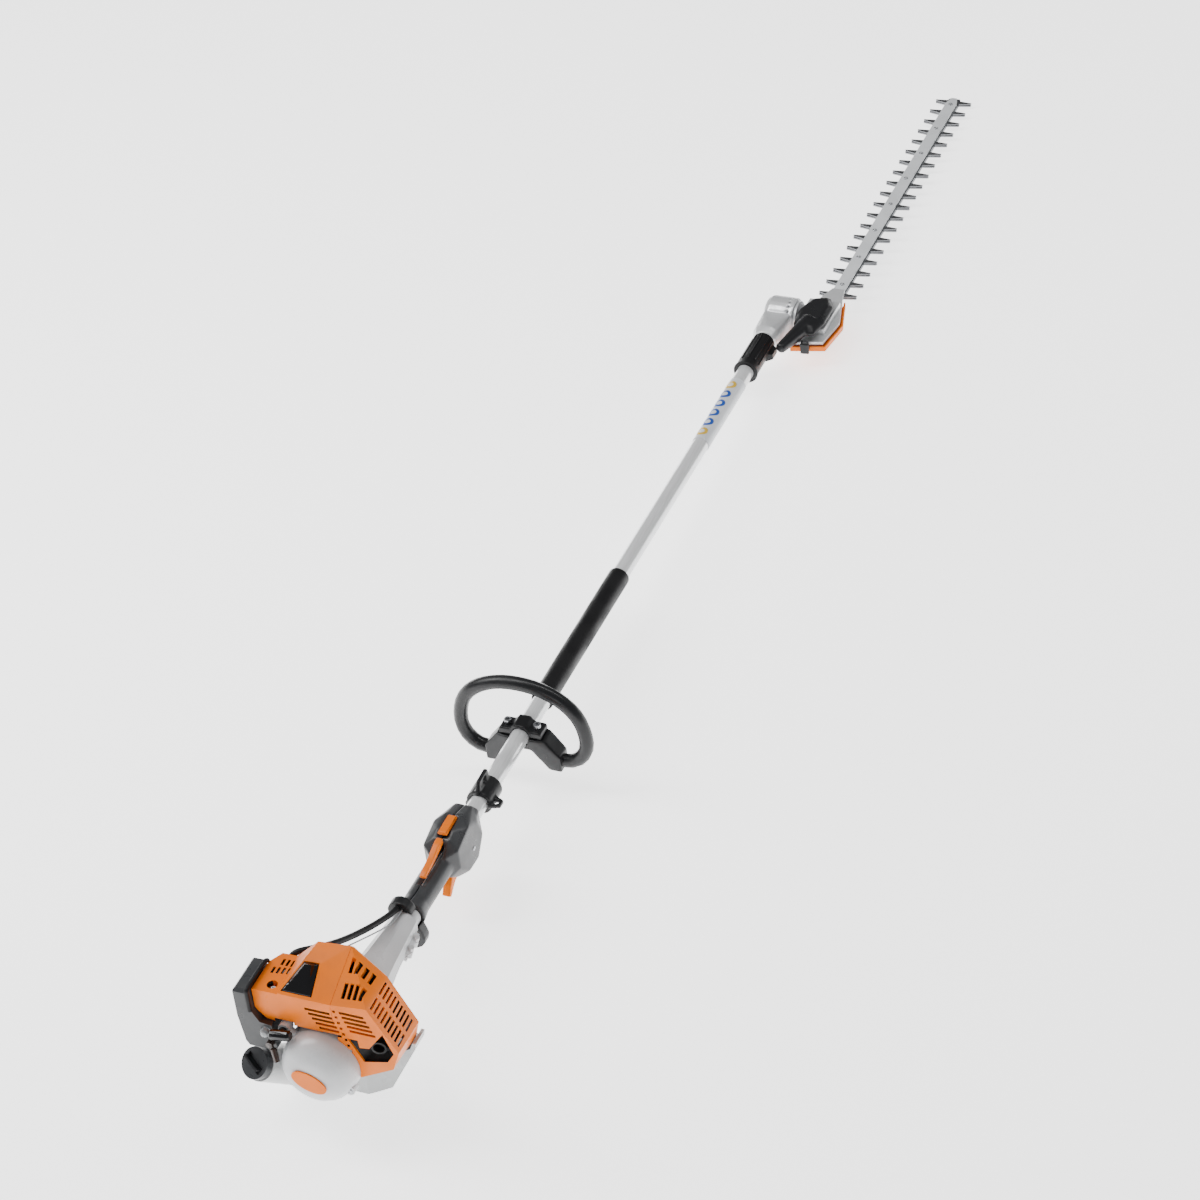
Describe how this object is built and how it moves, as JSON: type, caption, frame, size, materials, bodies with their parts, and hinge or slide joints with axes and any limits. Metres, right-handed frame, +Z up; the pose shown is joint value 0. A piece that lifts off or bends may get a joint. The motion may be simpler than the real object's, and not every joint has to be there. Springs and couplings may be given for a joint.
{
  "type": "pole hedge trimmer",
  "caption": "Petrol long-reach hedge trimmer: engine with hood, tank and recoil starter, pole with control grip and loop handle, tilting cutter head and double-sided reciprocating blade.",
  "frame": {"origin": "middle of the machine's footprint, on the floor it lies on", "axes": "+Y along the pole from engine to blade tip, +X to the user's right, +Z up; the pole leans nose down by about two degrees"},
  "size_m": [0.2176, 2.4292, 0.2402],
  "materials": {
    "orange": "glossy moulded orange plastic",
    "light_grey": "satin light grey plastic",
    "tank": "translucent white polyethylene",
    "black": "satin black plastic",
    "gloss_black": "glossy black plastic",
    "dark_grey": "fine textured dark grey plastic",
    "brown": "brown-black plastic",
    "clear": "clear soft plastic",
    "rubber": "soft black rubber",
    "cast": "cast aluminium",
    "steel": "ground steel",
    "dark_steel": "dark hardened steel",
    "tube": "drawn bright aluminium",
    "brass": "turned bronze",
    "ceramic": "white ceramic",
    "paper": "pleated filter paper",
    "label": "printed film",
    "pale": "pale painted steel"
  },
  "bodies": {
    "machine": {"crankcase": "cast", "bearing_rear": "steel", "bearing_front": "steel", "cylinder": "cast", "spark_plug": "ceramic", "starter_cover": "light_grey", "starter_badge": "orange", "engine_hood": "orange", "muffler_guard": "orange", "spark_plug_boot": "gloss_black", "muffler": "steel", "intake_manifold": "black", "carburettor": "cast", "air_filter_cover": "dark_grey", "air_filter_element": "paper", "fuel_tank": "tank", "clutch_housing": "light_grey", "shaft_bush": "brass", "pole_tube": "tube", "grip_sleeve": "rubber", "tube_label": "label", "hanger_clamp": "black", "loop_handle": "black", "loop_clamp_lower": "black", "loop_clamp_upper": "black", "loop_bolt_right": "steel", "loop_bolt_left": "steel", "handle_shell_right": "dark_grey", "handle_shell_left": "dark_grey", "handle_collar": "black", "throttle_conduit": "rubber", "head_sleeve": "rubber", "gear_housing": "cast"},
    "crank": {"crank_half_rear": "steel", "crank_half_front": "steel", "flywheel": "cast", "clutch_shoes": "steel"},
    "piston_group": {"piston": "cast", "piston_rod": "steel"},
    "starter_handle": {"starter_grip": "gloss_black"},
    "rope_pulley": {"starter_pulley": "black"},
    "choke": {"choke_lever": "brown"},
    "primer": {"primer_bulb": "clear"},
    "cap": {"fuel_cap": "dark_grey"},
    "cap_tab": {"fuel_cap_tab": "black"},
    "throttle_trigger": {"trigger": "orange"},
    "lockout": {"trigger_lockout": "orange"},
    "stop": {"stop_button": "orange"},
    "drive_line": {"clutch_drum": "steel", "drive_shaft": "steel"},
    "pivot_shaft": {"pivot_gear": "steel"},
    "cutter_head": {"head_casing": "cast", "head_cover": "black", "hand_guard": "orange", "gear_pan": "black", "blade_bar": "pale"},
    "latch": {"index_lever": "black"},
    "blade_crank": {"blade_crank_gear": "steel"},
    "blade_up": {"upper_blade": "dark_steel"},
    "blade_low": {"lower_blade": "dark_steel"}
  },
  "joints": [
    {"name": "crank_spin", "type": "hinge", "parent": "machine", "child": "crank", "pos_m": [0.00079, -1.13148, 0.10508], "axis": [0, 0.9993, -0.0375], "continuous": true},
    {"name": "piston_stroke", "type": "slide", "parent": "machine", "child": "piston_group", "axis": [0, 0.0375, 0.9993], "range_m": [-0.026, 0]},
    {"name": "starter_pull", "type": "slide", "parent": "machine", "child": "starter_handle", "axis": [0, -0.9993, 0.0375], "range_m": [0, 0.055], "stiffness_N_per_m": 60, "springref_m": -0.03},
    {"name": "pulley_spin", "type": "hinge", "parent": "machine", "child": "rope_pulley", "pos_m": [0.00079, -1.18045, 0.10691], "axis": [0, 0.9993, -0.0375], "range_deg": [0, 132]},
    {"name": "choke_turn", "type": "hinge", "parent": "machine", "child": "choke", "pos_m": [-0.06121, -1.18584, 0.12312], "axis": [0, 0.9993, -0.0375], "range_deg": [0, 60]},
    {"name": "primer_press", "type": "slide", "parent": "machine", "child": "primer", "axis": [0, 0.9993, -0.0375], "range_m": [0, 0.005], "stiffness_N_per_m": 400},
    {"name": "cap_turn", "type": "hinge", "parent": "machine", "child": "cap", "pos_m": [-0.08721, -1.18545, 0.08008], "axis": [-0.2499, -0.6949, 0.6742], "range_deg": [0, 90]},
    {"name": "cap_tab_fold", "type": "hinge", "parent": "cap", "child": "cap_tab", "pos_m": [-0.08951, -1.19185, 0.08628], "axis": [0.8188, -0.5233, -0.2359], "range_deg": [0, 80]},
    {"name": "trigger_squeeze", "type": "hinge", "parent": "machine", "child": "throttle_trigger", "pos_m": [0.00079, -0.76712, 0.05439], "axis": [-1, 0, 0], "range_deg": [0, 12], "stiffness_Nm_per_rad": 0.5, "springref_deg": -5.73},
    {"name": "lockout_press", "type": "hinge", "parent": "machine", "child": "lockout", "pos_m": [0.00079, -0.80845, 0.12649], "axis": [1, 0, 0], "range_deg": [0, 5], "stiffness_Nm_per_rad": 0.5, "springref_deg": -5.73},
    {"name": "stop_press", "type": "slide", "parent": "machine", "child": "stop", "axis": [0, -0.0375, -0.9993], "range_m": [0, 0.002], "stiffness_N_per_m": 800},
    {"name": "drive_spin", "type": "hinge", "parent": "machine", "child": "drive_line", "pos_m": [0.00079, -0.31206, 0.07437], "axis": [0, 0.9993, -0.0375], "continuous": true},
    {"name": "pivot_spin", "type": "hinge", "parent": "machine", "child": "pivot_shaft", "pos_m": [0.02079, 0.50937, 0.04358], "axis": [1, 0, 0], "continuous": true},
    {"name": "head_tilt", "type": "hinge", "parent": "machine", "child": "cutter_head", "pos_m": [0.03079, 0.50937, 0.04358], "axis": [1, 0, 0], "range_deg": [-90, 55]},
    {"name": "latch_pull", "type": "hinge", "parent": "cutter_head", "child": "latch", "pos_m": [0.06579, 0.43764, 0.05227], "axis": [-1, 0, 0], "range_deg": [0, 12], "stiffness_Nm_per_rad": 0.3, "springref_deg": -5.73},
    {"name": "blade_crank_spin", "type": "hinge", "parent": "cutter_head", "child": "blade_crank", "pos_m": [0.06479, 0.50937, 0.04358], "axis": [0, 0.0375, 0.9993], "continuous": true},
    {"name": "blade_up_stroke", "type": "slide", "parent": "cutter_head", "child": "blade_up", "axis": [0, 0.9993, -0.0375], "range_m": [-0.008, 0.008]},
    {"name": "blade_low_stroke", "type": "slide", "parent": "cutter_head", "child": "blade_low", "axis": [0, 0.9993, -0.0375], "range_m": [-0.008, 0.008]}
  ],
  "couplings": [
    {"joint": "pulley_spin", "follows": "starter_pull", "rad_per_m": 41.667},
    {"joint": "pivot_spin", "follows": "drive_spin", "ratio": 0.6},
    {"joint": "blade_crank_spin", "follows": "drive_spin", "ratio": 0.17},
    {"joint": "blade_low_stroke", "follows": "blade_up_stroke", "ratio": -1}
  ]
}
